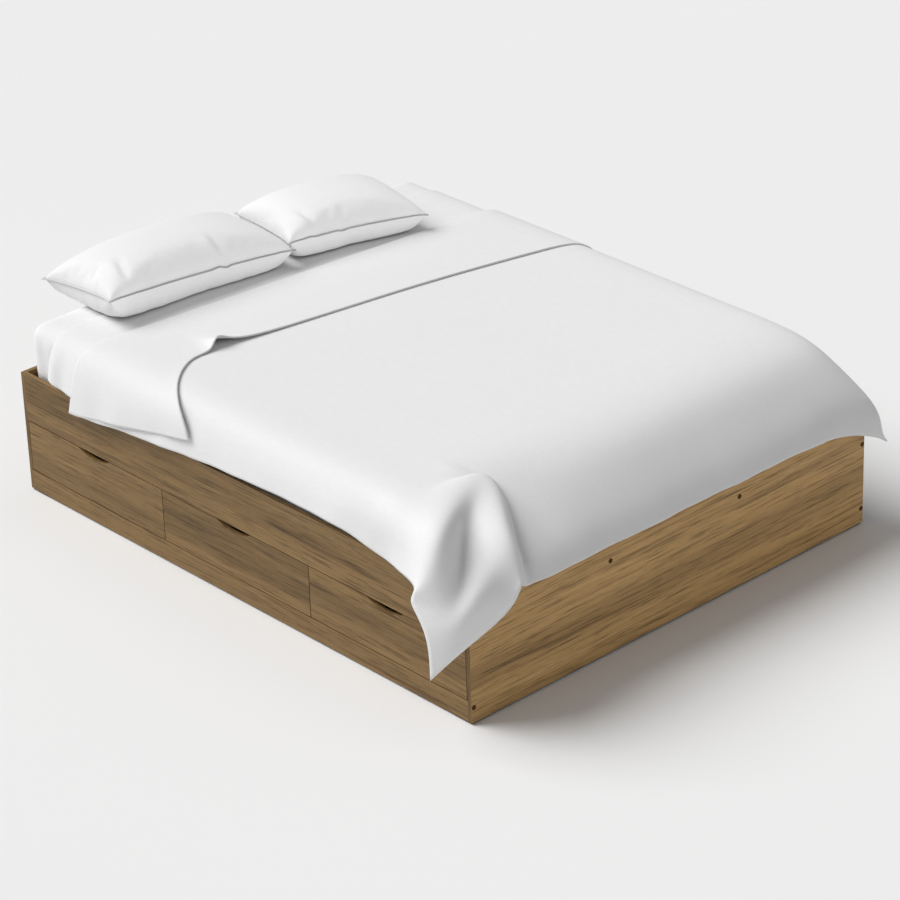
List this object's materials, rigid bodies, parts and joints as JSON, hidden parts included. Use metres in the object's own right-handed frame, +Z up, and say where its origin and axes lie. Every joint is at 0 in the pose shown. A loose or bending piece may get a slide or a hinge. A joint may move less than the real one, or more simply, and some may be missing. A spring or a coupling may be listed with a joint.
{
  "type": "platform bed with storage drawers",
  "caption": "Low wood-effect platform bed with drawers along one side, slatted base, mattress, white spread with a turned-down top and two pillows.",
  "frame": {"origin": "on the floor under the middle of the wooden frame, on the underside of the centre glide", "axes": "+Y towards the head, -Y towards the foot, -X the side the drawers open towards, +Z up"},
  "size_m": [1.732, 2.1775, 0.7486],
  "materials": {
    "wood_face": "oak-effect laminate, satin",
    "wood_inner": "laminated board, satin",
    "slat_wood": "planed pine, matt",
    "drawer_board": "pale laminated board, satin",
    "drawer_base": "pale hardboard, satin",
    "zinc_steel": "zinc plated",
    "black_plastic": "matt moulded",
    "brown_caps": "matt moulded",
    "mattress_ticking": "fitted white cotton",
    "white_cotton": "plain cotton",
    "white_spread": "smooth cotton spread",
    "white_pillow": "plain cotton case with piped seam"
  },
  "bodies": {
    "frame": {"head_panel": "wood_face", "foot_panel": "wood_face", "drawer_side_rail": "wood_face", "drawer_side_plinth": "wood_face", "far_side_panel": "wood_face", "slat_beam_near": "wood_inner", "slat_beam_far": "wood_inner", "drawer_divider_1": "wood_inner", "drawer_divider_2": "wood_inner", "far_brace_1": "wood_inner", "far_brace_2": "wood_inner", "centre_board": "wood_inner", "near_cleat": "wood_inner", "far_cleat": "wood_inner", "slat_01": "slat_wood", "slat_02": "slat_wood", "slat_03": "slat_wood", "slat_04": "slat_wood", "slat_05": "slat_wood", "slat_06": "slat_wood", "slat_07": "slat_wood", "slat_08": "slat_wood", "slat_09": "slat_wood", "slat_10": "slat_wood", "slat_11": "slat_wood", "slat_screws": "zinc_steel", "floor_pads": "black_plastic", "centre_pad": "black_plastic", "panel_screws": "zinc_steel", "screw_caps": "brown_caps", "runner_channels": "zinc_steel", "mattress": "mattress_ticking", "top_sheet": "white_cotton", "bedspread": "white_spread", "bedspread_corner_near": "white_spread", "bedspread_corner_far": "white_spread", "pillow_near": "white_pillow", "pillow_far": "white_pillow"},
    "drawer_1": {"drawer_1_front": "wood_face", "drawer_1_left_side": "drawer_board", "drawer_1_right_side": "drawer_board", "drawer_1_cam_locks": "zinc_steel", "drawer_1_back": "drawer_board", "drawer_1_bottom": "drawer_base", "drawer_1_runner_bars": "zinc_steel"},
    "drawer_2": {"drawer_2_front": "wood_face", "drawer_2_left_side": "drawer_board", "drawer_2_right_side": "drawer_board", "drawer_2_cam_locks": "zinc_steel", "drawer_2_back": "drawer_board", "drawer_2_bottom": "drawer_base", "drawer_2_runner_bars": "zinc_steel"},
    "drawer_3": {"drawer_3_front": "wood_face", "drawer_3_left_side": "drawer_board", "drawer_3_right_side": "drawer_board", "drawer_3_cam_locks": "zinc_steel", "drawer_3_back": "drawer_board", "drawer_3_bottom": "drawer_base", "drawer_3_runner_bars": "zinc_steel"}
  },
  "joints": [
    {"name": "drawer_1_slide", "type": "slide", "parent": "frame", "child": "drawer_1", "axis": [-1, 0, 0], "range_m": [0, 0.35]},
    {"name": "drawer_2_slide", "type": "slide", "parent": "frame", "child": "drawer_2", "axis": [-1, 0, 0], "range_m": [0, 0.35]},
    {"name": "drawer_3_slide", "type": "slide", "parent": "frame", "child": "drawer_3", "axis": [-1, 0, 0], "range_m": [0, 0.35], "deforming": ["bedspread_corner_near"]}
  ]
}
